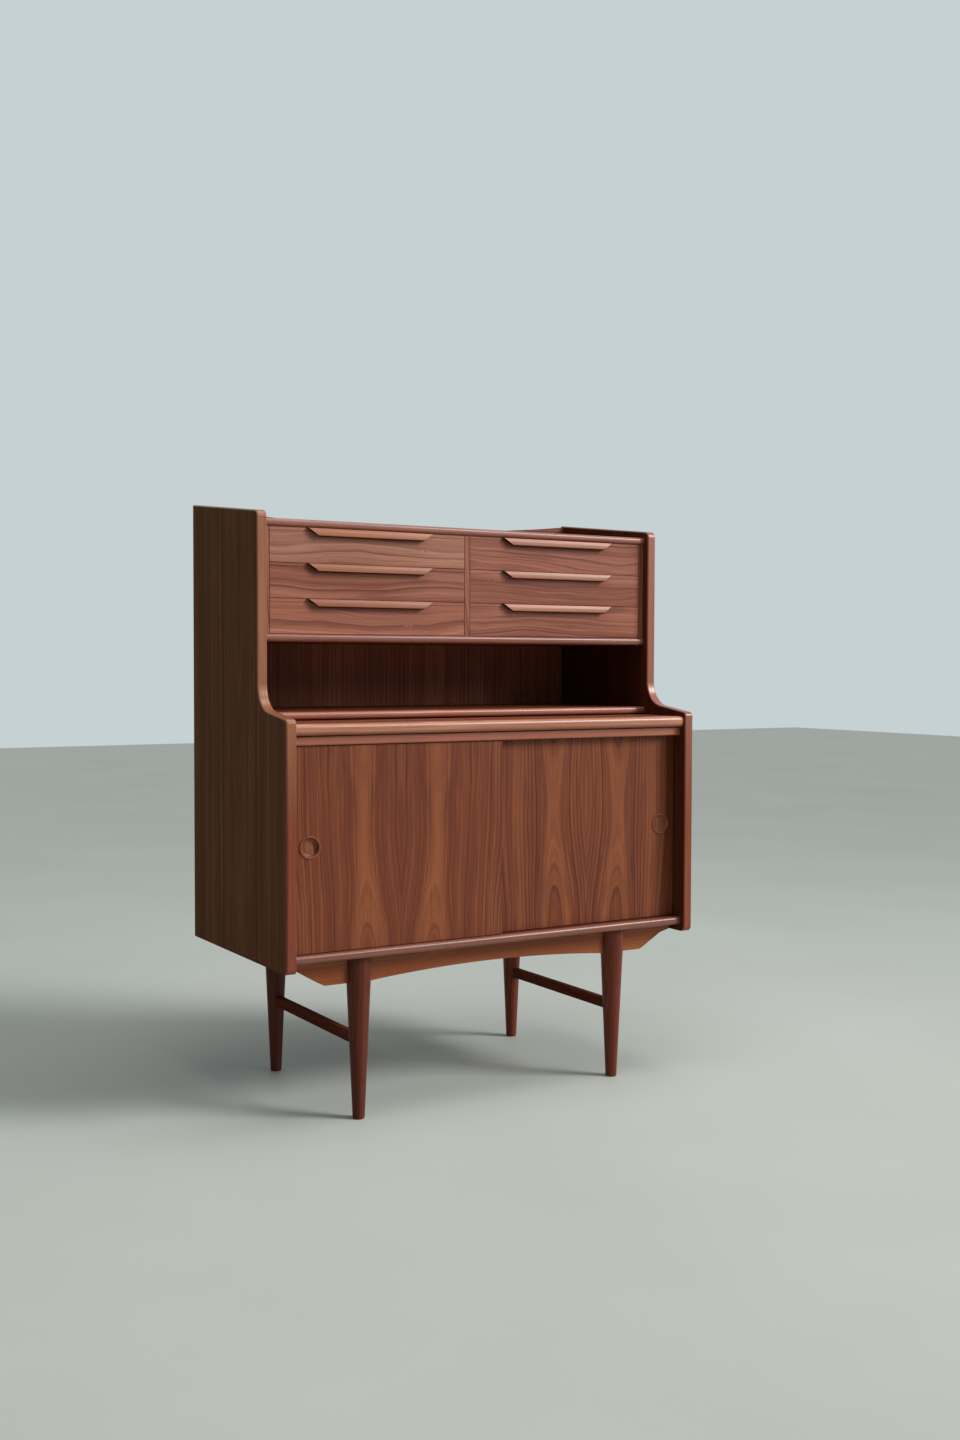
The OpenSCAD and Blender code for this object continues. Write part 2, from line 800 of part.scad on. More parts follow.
// The half of the leg behind the apron's outer face is cut away down to the apron's lower edge
module leg(side, front) {
    centre = front ? leg_front_d : leg_back_d;
    cut = front ? span(centre - 2 * leg_top_r, front_apron_d) : span(rear_apron_d, centre + 2 * leg_top_r);
    x = side * leg_x;
    color(teak) difference() {
        translate([x, at(centre), 0]) rotate_extrude($fn = 96) polygon(rounded([
            [0, 0, 0],
            [leg_foot_r, 0, foot_round],
            [leg_top_r, base_z, 0],
            [0, base_z, 0],
        ]));
        block([x - 2 * leg_top_r, x + 2 * leg_top_r], cut, [apron_z, base_z + eps]);
        stretcher(side);
    }
}

// --- assembly ------------------------------------------------------------------------------

side(-1);  // side_left
side(1);  // side_right
side_lipping(-1);  // side_lipping_left
side_lipping(1);  // side_lipping_right
top_board();
top_rail();
back_gallery();
case_wall(-1);  // case_wall_left
case_wall(1);  // case_wall_right
case_divider();
case_floor();
case_floor_rail();
niche_floor();
niche_rail();
slab_runners();
head_board();
head_rail();
head_track();
base_board();
base_rail();
base_track();
back_panel([back_joint_z, top_z]);  // back_panel_upper
back_panel([base_z, back_joint_z]);  // back_panel_lower
shelf();
shelf_pins();
drawer_runners();
writing_slab();
slab_lip();
slab_stop();
door(-1);  // door_left
door(1);  // door_right
door_ring(-1);  // door_ring_left
door_ring(1);  // door_ring_right
for (s = [0, 1], row = [0:ROWS - 1]) {
    name = drawer_name(s, row);
    drawer_front(SIDES[s], row);
    drawer_pull(SIDES[s], row);
    drawer_box(SIDES[s], row);
}
leg(-1, true);  // leg_front_left
leg(1, true);  // leg_front_right
leg(-1, false);  // leg_back_left
leg(1, false);  // leg_back_right
front_apron();
rear_apron();
stretcher(-1);  // stretcher_left
stretcher(1);  // stretcher_right
base_screws();
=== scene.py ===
import json
import math
import random

import bmesh
import bpy
from mathutils import Matrix, Vector

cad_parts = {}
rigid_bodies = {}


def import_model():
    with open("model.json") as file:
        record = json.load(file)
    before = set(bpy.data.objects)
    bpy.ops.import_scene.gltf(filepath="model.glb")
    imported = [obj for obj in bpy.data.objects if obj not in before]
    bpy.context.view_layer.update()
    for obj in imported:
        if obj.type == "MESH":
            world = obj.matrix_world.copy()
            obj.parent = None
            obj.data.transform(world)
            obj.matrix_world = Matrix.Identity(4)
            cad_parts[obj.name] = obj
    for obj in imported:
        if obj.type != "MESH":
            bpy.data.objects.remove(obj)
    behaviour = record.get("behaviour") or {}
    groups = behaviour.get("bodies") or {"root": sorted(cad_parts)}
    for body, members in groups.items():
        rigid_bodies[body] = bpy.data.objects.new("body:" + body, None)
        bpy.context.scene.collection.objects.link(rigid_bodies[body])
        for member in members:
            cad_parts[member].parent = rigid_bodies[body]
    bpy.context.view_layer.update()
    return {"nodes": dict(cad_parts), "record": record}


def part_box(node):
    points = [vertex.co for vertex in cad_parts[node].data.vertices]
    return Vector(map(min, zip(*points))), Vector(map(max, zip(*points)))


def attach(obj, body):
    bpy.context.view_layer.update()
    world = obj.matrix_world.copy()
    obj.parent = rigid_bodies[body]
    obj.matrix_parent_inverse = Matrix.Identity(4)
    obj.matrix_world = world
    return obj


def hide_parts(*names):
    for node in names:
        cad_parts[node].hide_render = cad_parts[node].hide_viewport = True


for leftover in list(bpy.data.objects):
    bpy.data.objects.remove(leftover)
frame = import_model()
NODES = frame["nodes"]
BODY_OF = {node: body for body, nodes in frame["record"]["behaviour"]["bodies"].items() for node in nodes}
SLOT_OF = {part["node"]: part["material_slot"] for part in frame["record"]["subparts"]}
MM = 0.001


# --- colours --------------------------------------------------------------------------------

def tone(code):
    """Linear colour of a hex code such as 8c4f36."""
    parts = [int(code[i:i + 2], 16) / 255 for i in (0, 2, 4)]
    return tuple(c / 12.92 if c <= 0.04045 else ((c + 0.055) / 1.055) ** 2.4 for c in parts) + (1.0,)


# Each wood has the colour of its late-wood lines, of its body and of its lightest bands
TEAK = ("3c160b", "6b341f", "8e5030")
TEAK_SIDE_LEFT = ("2e1a10", "623f2a", "7a5238")
TEAK_SIDE_RIGHT = ("2a120a", "4e2619", "5e3420")
TEAK_BACK = ("4a2012", "8c4c34", "b06c4c")
TEAK_PALE = ("42190f", "804734", "9e6350")
TEAK_RED = ("461c12", "7e4635", "945c48")
TEAK_ORANGE = ("582612", "844424", "a46038")
TEAK_DARK = ("2a1008", "552414", "6b331e")
# Dark wood for the pulls' slanted ends and undersides, where it is painted shade as well as end grain,
# and for the glue line under their strips
TEAK_END_GRAIN_GLUE_AND_PAINTED_SHADE = ("140804", "2a1009", "3a180e")
TEAK_LIPPING = ("542816", "865034", "a06848")
TEAK_LIPPING_LOW = ("38120a", "6e2c18", "8a4224")
TEAK_PULL = ("4c2212", "8a4c2e", "9e603c")
TEAK_RING = ("3a180c", "74402b", "9c6246")
# The left legs' darker tone is painted shade, for the side away from the key light; the stretchers use it
# too
TEAK_LEG_LEFT = ("220c07", "4e2214", "683422")
TEAK_LEG_RIGHT = ("2e1109", "642c1c", "824430")
BEECH = ("a07850", "c9a57c", "d8ba94")
# Drawer fronts and rails that differ from the others in tone. The two left drawer fronts are paler,
# partly as painted sheen of the window light.
FRONT_TONES = {
    "drawer_left_upper_front": ("54281e", "94604c", "b27c66"),
    "drawer_left_lower_front": ("4e241c", "945843", "b2745f"),
}
RAIL_TONES = {
    "slab_lip": ("603020", "9c6046", "bc8064"),
    "niche_rail": ("5c2c1c", "985842", "b3735b"),
    "head_rail": ("4e2014", "9c5840", "b06c50"),
    "base_rail": ("3a1c14", "784534", "925c48"),
}


# --- shader nodes ---------------------------------------------------------------------------

class Graph:
    """Short names for the shader nodes that the materials are made of."""

    def __init__(self, name):
        self.material = bpy.data.materials.new(name)
        self.material.use_nodes = True
        self.tree = self.material.node_tree
        self.tree.nodes.clear()

    def node(self, kind, inputs=None, **settings):
        made = self.tree.nodes.new(kind)
        for key, value in settings.items():
            setattr(made, key, value)
        for key, value in (inputs or {}).items():
            self.put(made.inputs[key], value)
        return made

    def put(self, socket, value):
        if isinstance(value, bpy.types.NodeSocket):
            self.tree.links.new(value, socket)
        else:
            socket.default_value = value

    def math(self, operation, a, b=0.0, c=0.0):
        return self.node("ShaderNodeMath", {0: a, 1: b, 2: c}, operation=operation).outputs[0]

    def vector(self, x=0.0, y=0.0, z=0.0):
        return self.node("ShaderNodeCombineXYZ", {0: x, 1: y, 2: z}).outputs[0]

    def scaled(self, scale):
        """The place on the object, times a scale along each axis."""
        place = self.node("ShaderNodeTexCoord").outputs["Object"]
        return self.node("ShaderNodeMapping", {"Vector": place, "Scale": scale}).outputs[0]

    def noise(self, vector, detail=2.0, roughness=0.5):
        made = self.node(
            "ShaderNodeTexNoise",
            {"Vector": vector, "Scale": 1.0, "Detail": detail, "Roughness": roughness},
        )
        return made.outputs["Fac"]

    def centred_noise(self, vector, size, detail=1.0):
        """Noise of about -size to size."""
        return self.math("MULTIPLY", self.math("SUBTRACT", self.noise(vector, detail), 0.5), 3.0 * size)

    def step(self, value, low, high):
        """Rises smoothly from 0 at low to 1 at high."""
        made = self.node(
            "ShaderNodeMapRange",
            {"Value": value, "From Min": low, "From Max": high},
            interpolation_type="SMOOTHSTEP",
        )
        return made.outputs["Result"]

    def mix(self, factor, a, b):
        """Colour a where factor is 0 and b where it is 1. 6, 7 and 2 are the colour sockets."""
        made = self.node("ShaderNodeMix", data_type="RGBA")
        self.put(made.inputs[0], factor)
        self.put(made.inputs[6], a)
        self.put(made.inputs[7], b)
        return made.outputs[2]

    def finish(self, colour, roughness, height, bump, specular=0.35, metallic=0.0):
        bumped = self.node("ShaderNodeBump", {"Height": height, "Strength": 1.0, "Distance": bump})
        shader = self.node("ShaderNodeBsdfPrincipled", {
            "Base Color": colour,
            "Roughness": roughness,
            "Metallic": metallic,
            "Specular IOR Level": specular,
            "Normal": bumped.outputs[0],
        })
        output = self.node("ShaderNodeOutputMaterial")
        self.tree.links.new(shader.outputs[0], output.inputs[0])
        return self.material


# --- wood -----------------------------------------------------------------------------------

# Millimetres that the figure moves along the second leaf of a folded board
LEAF_SHIFT = 14


class Board(Graph):
    """The graph of a wood, with the place on the board: along, across and into it, in metres.
    axes names them, such as "zxy"; "path" reads them from the piece's own grain attribute. fold
    mirrors the board about that place across."""

    def __init__(self, name, axes, fold):
        super().__init__(name)
        chance = random.Random(name)
        self.seed = [chance.uniform(0, 40) for _ in range(4)]
        if axes == "path":
            source = self.node("ShaderNodeAttribute", attribute_name="grain").outputs["Vector"]
            order = (0, 1, 2)
        else:
            source = self.node("ShaderNodeTexCoord").outputs["Object"]
            order = ["xyz".index(letter) for letter in axes]
        parts = self.node("ShaderNodeSeparateXYZ", {0: source}).outputs
        self.along, self.across, self.depth = (parts[i] for i in order)
        if fold is not None:
            beyond = self.math("GREATER_THAN", self.across, fold)
            self.along = self.math("MULTIPLY_ADD", beyond, LEAF_SHIFT * MM, self.along)
            self.across = self.math("ABSOLUTE", self.math("SUBTRACT", self.across, fold))

    def place(self, along_scale, across_scale, offset):
        """The place on the board for a noise, which turns about as often in a metre as the scales
        say: along the grain, and square to it."""
        return self.vector(
            self.math("MULTIPLY_ADD", self.along, along_scale, self.seed[0] + offset),
            self.math("MULTIPLY_ADD", self.across, across_scale, self.seed[1]),
            self.math("MULTIPLY_ADD", self.depth, across_scale, self.seed[2]),
        )


def length_of(graph, x, y):
    squares = graph.math("ADD", graph.math("MULTIPLY", x, x), graph.math("MULTIPLY", y, y))
    return graph.math("SQRT", squares)


def from_heart(board, heart, wander, sway, lean):
    """How far to the side and how deep each point lies from the middle of the log."""
    aside = board.math("SUBTRACT", board.across, heart[0] * MM)
    if lean is not None:
        start, end, at_heart, share = lean
        shift = board.math("MULTIPLY_ADD", board.math("ABSOLUTE", aside), share, at_heart * MM)
        leaning = board.step(board.along, start * MM, end * MM)
        aside = board.math("MULTIPLY_ADD", leaning, shift, aside)
    swaying = board.centred_noise(board.place(4.2, 14.0, 0.0), sway * MM, detail=2.0)
    wandering = board.centred_noise(board.place(2.4, 0.0, 9.0), wander * MM, detail=0.0)
    deep = board.math("ADD", board.math("ADD", board.depth, heart[1] * MM), wandering)
    return board.math("ADD", aside, swaying), deep


def add_arch(board, deep, marked, start, end, move):
    """Moves the log deeper from start to end, and marks its lines there."""
    deep = board.math("MULTIPLY_ADD", board.step(board.along, start * MM, end * MM), move * MM, deep)
    to_middle = board.math("ABSOLUTE", board.math("SUBTRACT", board.along, (start + end) / 2 * MM))
    reach = abs(end - start) / 2 * MM
    inside = board.step(to_middle, reach + 20 * MM, reach - 20 * MM)
    return deep, board.math("MAXIMUM", marked, board.math("MULTIPLY", inside, 0.5))


def add_knot(board, deep, core, along, across, size):
    """Bends the rings round a knot, which is longer along the board, and darkens its core."""
    x = board.math("MULTIPLY", board.math("SUBTRACT", board.along, along * MM), 0.4)
    away = length_of(board, x, board.math("SUBTRACT", board.across, across * MM))
    deep = board.math("MULTIPLY_ADD", board.step(away, size * MM, 0.0), 2.0 * size * MM, deep)
    return deep, board.math("MAXIMUM", board.step(away, 0.4 * size * MM, 0.0), core)


def ring_marks(board, radius, ring, marked):
    """Pale early wood and dark late-wood lines, in rings of uneven width. Each ring has its own
    strength, and its line is faint where marked is low."""
    stretch = board.vector(board.math("MULTIPLY", radius, 60.0), board.seed[3])
    uneven = board.centred_noise(stretch, 0.6)
    count = board.math("MULTIPLY_ADD", radius, 1.0 / (ring * MM), uneven)
    phase = board.math("FRACT", count)
    number = board.math("ADD", board.math("FLOOR", count), board.seed[2])
    by_number = board.node("ShaderNodeTexWhiteNoise", {"W": number}, noise_dimensions="1D")
    each = by_number.outputs["Value"]
    strength = board.math("MULTIPLY_ADD", board.math("MULTIPLY", each, each), 0.8, 0.2)
    pale = board.math("MULTIPLY", board.step(phase, 0.3, 0.1), board.step(phase, 0.0, 0.05))
    line = board.math("MULTIPLY", board.step(phase, 0.55, 0.93), board.step(phase, 1.0, 0.94))
    weight = board.math("MULTIPLY", strength, board.math("MULTIPLY_ADD", marked, 0.7, 0.3))
    return board.math("MULTIPLY", pale, strength), board.math("MULTIPLY", line, weight)


def grain_marks(board, radius):
    """Long fibres, dark streaks, dark wisps that follow the rings, and pores."""
    fibre = board.noise(board.place(9.0, 520.0, 2.0), 4.0, 0.65)
    streak = board.step(board.noise(board.place(4.0, 330.0, 7.0), 3.0, 0.6), 0.55, 0.75)
    drawn_out = board.math("MULTIPLY_ADD", board.along, 7.0, board.seed[1])
    by_ring = board.vector(drawn_out, board.math("MULTIPLY", radius, 130.0), board.seed[0])
    wisp = board.step(board.noise(by_ring, 1.0), 0.58, 0.8)
    pore = board.step(board.noise(board.place(95.0, 2400.0, 1.0), 1.0), 0.6, 0.72)
    return fibre, streak, wisp, pore


def lightness_of(board, radius, away_from_heart, pale, fibre):
    """Bands a few rings wide, clouds, fine lines beside the rings, fibres and early wood."""
    by_ring = board.vector(board.math("MULTIPLY", radius, 70.0), board.seed[1], 1.0)
    band = board.step(board.noise(by_ring, 1.0), 0.3, 0.7)
    cloud = board.step(board.noise(board.place(3.0, 18.0, 5.0), 2.0), 0.3, 0.7)
    drawn_out = board.math("MULTIPLY", board.along, 3.0)
    beside = board.vector(board.math("MULTIPLY", radius, 620.0), drawn_out, board.seed[3])
    fine = board.noise(beside, 2.0)
    total = board.math("MULTIPLY_ADD", band, 0.35, board.math("MULTIPLY", cloud, 0.25))
    total = board.math("ADD", total, board.math("MULTIPLY_ADD", fine, 0.8, -0.4))
    total = board.math("ADD", total, board.math("MULTIPLY_ADD", fibre, 0.9, -0.45))
    total = board.math("MULTIPLY_ADD", pale, 0.25, total)
    return board.math("MULTIPLY_ADD", away_from_heart, -0.2, board.math("ADD", total, 0.12))


def tones_of(board, tones, fade):
    """Colours of the lines, of the body and of the lightest bands."""
    colours = [tone(code) for code in tones]
    if fade is None:
        return colours
    start, end, others = fade
    faded = board.step(board.along, start * MM, end * MM)
    return [board.mix(faded, colour, tone(code)) for colour, code in zip(colours, others)]


def wood(
    name, axes, tones, heart, ring=4.6, wander=9.0, sway=2.5, lines=0.8,
    fold=None, arches=(), lean=None, knots=(), fade=None, gloss=0.42, specular=0.2, bump=0.05,
):
    """Sawn wood or veneer. heart is (across, deep), where the middle of the log lies from the
    board: near it the rings make arches, far from it straight stripes. ring is their spacing,
    wander and sway how far the log and the lines stray, and lines how strong they are. Each of
    arches is (from, to, move): there along the board the log moves that much deeper. lean is
    (from, to, at the heart, share): between these places along the board the lines move that far
    inwards, and besides by that share of their distance from the heart. Each of knots is (along,
    across, size). fade is (from, to, tones): between these places along the board the wood takes
    on the other tones. bump is the depth of the pores. Lengths are in millimetres, apart from
    fold's, which is in metres."""
    board = Board(name, axes, fold)
    aside, deep = from_heart(board, heart, wander, sway, lean)
    away_from_heart = board.step(board.math("ABSOLUTE", aside), 8 * MM, 38 * MM)
    # How strong the lines are there: faint at the heart, except where it makes an arch
    marked = away_from_heart
    for arch in arches:
        deep, marked = add_arch(board, deep, marked, *arch)
    knot_core = 0.0
    for knot in knots:
        deep, knot_core = add_knot(board, deep, knot_core, *knot)
    radius = length_of(board, aside, deep)
    pale, line = ring_marks(board, radius, ring, marked)
    fibre, streak, wisp, pore = grain_marks(board, radius)

    dark, body, light = tones_of(board, tones, fade)
    lightness = lightness_of(board, radius, away_from_heart, pale, fibre)
    colour = board.mix(board.step(lightness, 0.0, 0.75), body, light)
    darker = [(line, lines), (wisp, 0.5 * lines), (streak, 0.35 * lines), (pore, 0.3)]
    if knots:
        darker.append((knot_core, 0.8))
    for mark, share in darker:
        colour = board.mix(board.math("MULTIPLY", mark, share), colour, dark)
    # Rounded arrises are lighter: partly wear, partly painted highlight
    wear_and_highlight = board.node("ShaderNodeAttribute", attribute_name="wear_and_highlight").outputs["Fac"]
    colour = board.mix(board.math("MULTIPLY", wear_and_highlight, board.step(fibre, 0.3, 0.8)), colour, light)
    roughness = board.math("MULTIPLY_ADD", fibre, 0.16, gloss - 0.08)
    height = board.math("SUBTRACT", board.math("MULTIPLY", fibre, 0.4), pore)
    return board.finish(colour, roughness, height, bump * MM, specular)


def steel(name):
    """Zinc-plated steel with faint scratches."""
    graph = Graph(name)
    scratch = graph.noise(graph.scaled((4000.0, 300.0, 4000.0)), 3.0)
    cloud = graph.noise(graph.scaled((150.0, 150.0, 150.0)))
    colour = graph.mix(cloud, tone("8f8f8a"), tone("bcbcb6"))
    roughness = graph.math("MULTIPLY_ADD", scratch, 0.25, 0.22)
    return graph.finish(colour, roughness, scratch, 0.01 * MM, metallic=1.0)


# --- pieces ---------------------------------------------------------------------------------

def dress(obj, *materials):
    """Gives the object these materials. Its faces keep the numbers that say which is theirs."""
    indices = [polygon.material_index for polygon in obj.data.polygons]
    obj.data.materials.clear()
    for material in materials:
        obj.data.materials.append(material)
    if len(materials) > 1:
        obj.data.polygons.foreach_set("material_index", indices)


def clean_copy(node):
    """The node's mesh with its doubled points joined and its flat faces whole."""
    mesh = bmesh.new()
    mesh.from_mesh(NODES[node].data)
    # Marks for the rounded arrises, which the wood makes lighter: partly wear, partly painted highlight
    mesh.faces.layers.float.new("wear_and_highlight")
    bmesh.ops.remove_doubles(mesh, verts=mesh.verts, dist=0.002 * MM)
    bmesh.ops.dissolve_limit(mesh, angle_limit=math.radians(0.3), verts=mesh.verts, edges=mesh.edges)
    return mesh


def sharp_edges(mesh, angle=25.0):
    limit = math.radians(angle)
    return [e for e in mesh.edges if len(e.link_faces) == 2 and e.calc_face_angle() > limit]


def round_edges(mesh, edges, radius, segments=3):
    """Rounds the edges, in millimetres, and marks the new faces, which the wood makes lighter: partly
    wear, partly painted highlight.
    """
    wear_and_highlight = mesh.faces.layers.float["wear_and_highlight"]
    made = bmesh.ops.bevel(
        mesh, geom=edges, offset=radius * MM, offset_type="OFFSET", segments=segments,
        profile=0.5, affect="EDGES", clamp_overlap=False,
    )
    for face in made["faces"]:
        face[wear_and_highlight] = 0.5


def stand_in(node, mesh):
    """Makes mesh the piece that is shown for node, closed and without slivers."""
    data = bpy.data.meshes.new(f"{node}_shape")
    bmesh.ops.remove_doubles(mesh, verts=mesh.verts, dist=0.01 * MM)
    bmesh.ops.dissolve_degenerate(mesh, dist=0.002 * MM, edges=mesh.edges)
    for face in mesh.faces:
        face.smooth = True
    for edge in sharp_edges(mesh):
        edge.smooth = False
    mesh.to_mesh(data)
    mesh.free()
    piece = bpy.data.objects.new(data.name, data)
    bpy.context.scene.collection.objects.link(piece)
    weighted = piece.modifiers.new("flat_faces_stay_flat", "WEIGHTED_NORMAL")
    weighted.keep_sharp = True
    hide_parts(node)
    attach(piece, BODY_OF[node])
    return piece


def soften(node, radius, chosen=lambda edge: True):
    """Shows a node with those of its sharp edges rounded that are chosen."""
    mesh = clean_copy(node)
    round_edges(mesh, [e for e in sharp_edges(mesh) if chosen(e)], radius)
    piece = stand_in(node, mesh)
    dress(piece, MATERIALS[node])


# --- camera -----------------------------------------------------------------------------------

def aim_camera(place, yaw, pitch, roll, focal_length):
    """Angles in degrees: yaw to the right of +Y, pitch down, roll about the line of sight."""
    data = bpy.data.cameras.new("camera")
    data.sensor_width = 36.0
    data.sensor_fit = "AUTO"
    data.lens = focal_length
    camera = bpy.data.objects.new("camera", data)
    bpy.context.scene.collection.objects.link(camera)
    yaw, pitch, roll = math.radians(yaw), math.radians(pitch), math.radians(roll)
    ahead = Vector((math.sin(yaw) * math.cos(pitch), math.cos(yaw) * math.cos(pitch), -math.sin(pitch)))
    right = Vector((math.cos(yaw), -math.sin(yaw), 0))
    down = ahead.cross(right)
    x = math.cos(roll) * right + math.sin(roll) * down
    y = math.sin(roll) * right - math.cos(roll) * down
    turn = Matrix((x, y, -ahead)).transposed().to_4x4()
    camera.matrix_world = Matrix.Translation(place) @ turn
    bpy.context.scene.camera = camera


aim_camera((-1.50046, -2.63405, 0.83156), yaw=30.94, pitch=2.2, roll=-0.16, focal_length=37.93)


# --- what each node is made of -----------------------------------------------------------------

# Depth of the pores in the pieces that are rubbed smooth, and size of a knot, in millimetres
SMOOTH = 0.012
KNOT_SIZE = 5
# Knots in the drawer fronts, as (part of the width, part of the height)
KNOTS = {
    "drawer_right_middle_front": (0.12, 0.75),
    "drawer_left_lower_front": (0.70, 0.3),
    "drawer_left_upper_front": (0.79, 0.55),
}


def side_wood(node, tones, heart):
    return wood(node, "zyx", tones, heart, ring=11, lines=0.45, gloss=0.6, specular=0.01)


def door_wood(node, deep, arches, lean):
    """Two leaves of veneer, mirrored at the middle of the door. The arches' places are measured
    from its foot."""
    low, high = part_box(node)
    bottom = low.z / MM
    steps = [(bottom + start, bottom + end, move) for start, end, move in arches]
    return wood(
        node, "zxy", TEAK, (78, deep - low.y / MM), ring=7.5, wander=1.5, sway=6.5, lines=0.8,
        fold=(low.x + high.x) / 2, arches=steps, lean=(bottom + 240, bottom, lean, 0.1),
    )


def front_wood(node, low, high):
    """Veneer of a drawer's front, with the heart a little above or below its middle."""
    mid = (low + high) / 2 / MM
    chance = random.Random(f"heart {node}")
    tones = FRONT_TONES.get(node, TEAK_PALE)
    heart = (mid.z + chance.choice((-1, 1)) * chance.uniform(25, 50), chance.uniform(14, 40) - mid.y)
    knots = []
    if node in KNOTS:
        right, up = KNOTS[node]
        along = (low.x + right * (high.x - low.x)) / MM
        across = (low.z + up * (high.z - low.z)) / MM
        knots.append((along, across, KNOT_SIZE))
    return wood(node, "xzy", tones, heart, ring=11, wander=22, sway=11, lines=0.7, knots=knots)


def wood_for(node):
    """Material of the nodes that have no entry of their own."""
    slot = SLOT_OF[node]
    low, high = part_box(node)
    mid = (low + high) / 2 / MM
    chance = random.Random(f"heart {node}")
    if slot == "steel":
        return steel(node)
    if node in ("head_track", "base_track", "slab_runners"):
        axes = "yxz" if node == "slab_runners" else "xzy"
        return wood(node, axes, TEAK_DARK, (mid.z + 50, 0), ring=3.5, lines=0.4)
    if slot in ("beech_runner", "beech_box"):
        return wood(node, "yxz", BEECH, (chance.uniform(60, 90), 200), ring=2.5, lines=0.15, gloss=0.6)
    if node.startswith("leg"):
        # Painted shade: the legs on the left get the darker tone
        tones = TEAK_LEG_LEFT if mid.x < 0 else TEAK_LEG_RIGHT
        return wood(node, "zxy", tones, (mid.x + 45, -mid.y + 10), ring=3.5, lines=0.5, specular=0.15)
    if node.startswith("stretcher"):
        heart = (mid.z + 50, 0)
        return wood(node, "yzx", TEAK_LEG_LEFT, heart, ring=3.5, lines=0.4, gloss=0.7, specular=0.02)
    if slot == "teak_apron":
        return wood(node, "xzy", TEAK_ORANGE, (mid.z + 120, 50), ring=3.0, lines=0.4)
    if slot == "teak_front":
        return front_wood(node, low, high)
    if slot == "teak_pull":
        heart = (mid.z + chance.uniform(60, 90), chance.uniform(20, 60) - mid.y)
        return wood(
            node, "xzy", TEAK_PULL, heart, ring=3.5, lines=0.4,
            gloss=0.3, specular=0.24, bump=SMOOTH,
        )
    if slot in ("teak_rail", "teak_slab_lip"):
        tones = RAIL_TONES.get(node, TEAK_RED)
        heart = (mid.z + chance.uniform(40, 70), chance.uniform(20, 60) - mid.y)
        return wood(
            node, "xzy", tones, heart, ring=3.5, lines=0.4, gloss=0.32, specular=0.5, bump=SMOOTH
        )
    if slot == "teak_back":
        heart = (chance.uniform(-100, 100), 40 - mid.y)
        return wood(node, "zxy", TEAK_BACK, heart, ring=9, sway=5, lines=0.5, specular=0.1)
    if slot == "teak_ring":
        return wood(node, "zxy", TEAK_RING, (mid.x + 60, 30), ring=3.0, lines=0.3, gloss=0.34)
    if node.startswith("case_wall") or node == "case_divider":
        return wood(node, "zxy", TEAK_PALE, (mid.x + 60, 30 - mid.y), ring=4.0, lines=0.5)
    heart = (mid.y + chance.uniform(-80, 80), 40 - mid.z)
    return wood(node, "xyz", TEAK, heart, ring=7, wander=3, sway=4)


MATERIALS = {
    "side_left": side_wood("side_left", TEAK_SIDE_LEFT, (-10, 480)),
    "side_right": side_wood("side_right", TEAK_SIDE_RIGHT, (20, -415)),
    "door_left": door_wood("door_left", 18, [(-10, 150, 15)], 8),
    "door_right": door_wood("door_right", 15, [(-30, 220, 19), (260, 420, -9)], 5),
}
for node in NODES:
    if node not in MATERIALS and SLOT_OF[node] != "teak_lipping":
        MATERIALS[node] = wood_for(node)
# Painted shade on the pulls' ends and undersides, on the ends partly end grain; also the glue line under
# the strips
PULL_END_GRAIN_GLUE_AND_PAINTED_SHADE = wood("pull_end_grain", "xzy", TEAK_END_GRAIN_GLUE_AND_PAINTED_SHADE, (0, 0), ring=3.5, lines=0.3, specular=0.05)


# --- lippings: rounded arrises, grain along the curve --------------------------------------------

# Millimetres: the radius of the arrises, and how far from its lower end a lipping starts to turn
# darker and is as dark as it gets
LIPPING_ROUND = 2.6
PALE_FROM = 480
DARK_FROM = 200


def outer_path(mesh):
    """The lipping's outer edge, from the top of the back to under the front."""
    side = max(mesh.faces, key=lambda f: f.calc_area() * abs(f.normal.x))
    loop = [v.co.copy() for v in side.verts]
    top = max(range(len(loop)), key=lambda i: loop[i].z)
    foot = min(range(len(loop)), key=lambda i: loop[i].z)
    ways = []
    for step in (1, -1):
        way, i = [loop[top]], top
        while i != foot:
            i = (i + step) % len(loop)
            way.append(loop[i])
        ways.append(way)
    return min(ways, key=lambda way: min(co.y for co in way))


def lay_grain_along(piece, path):
    """Stores how far each point lies along the path, across it and into the wood."""
    starts, total = [], 0.0
    for a, b in zip(path, path[1:]):
        starts.append(total)
        total += (b - a).length
    values = []
    for vertex in piece.data.vertices:
        best = None
        for start, a, b in zip(starts, path, path[1:]):
            edge = b.yz - a.yz
            offset = vertex.co.yz - a.yz
            t = max(0.0, min(1.0, offset.dot(edge) / edge.length_squared))
            away = (offset - edge * t).length
            if best is None or away < best[2] - 1e-7:
                best = (start + edge.length * t, vertex.co.x, away)
        values.extend(best)
    attribute = piece.data.attributes.new("grain", "FLOAT_VECTOR", "POINT")
    attribute.data.foreach_set("vector", values)


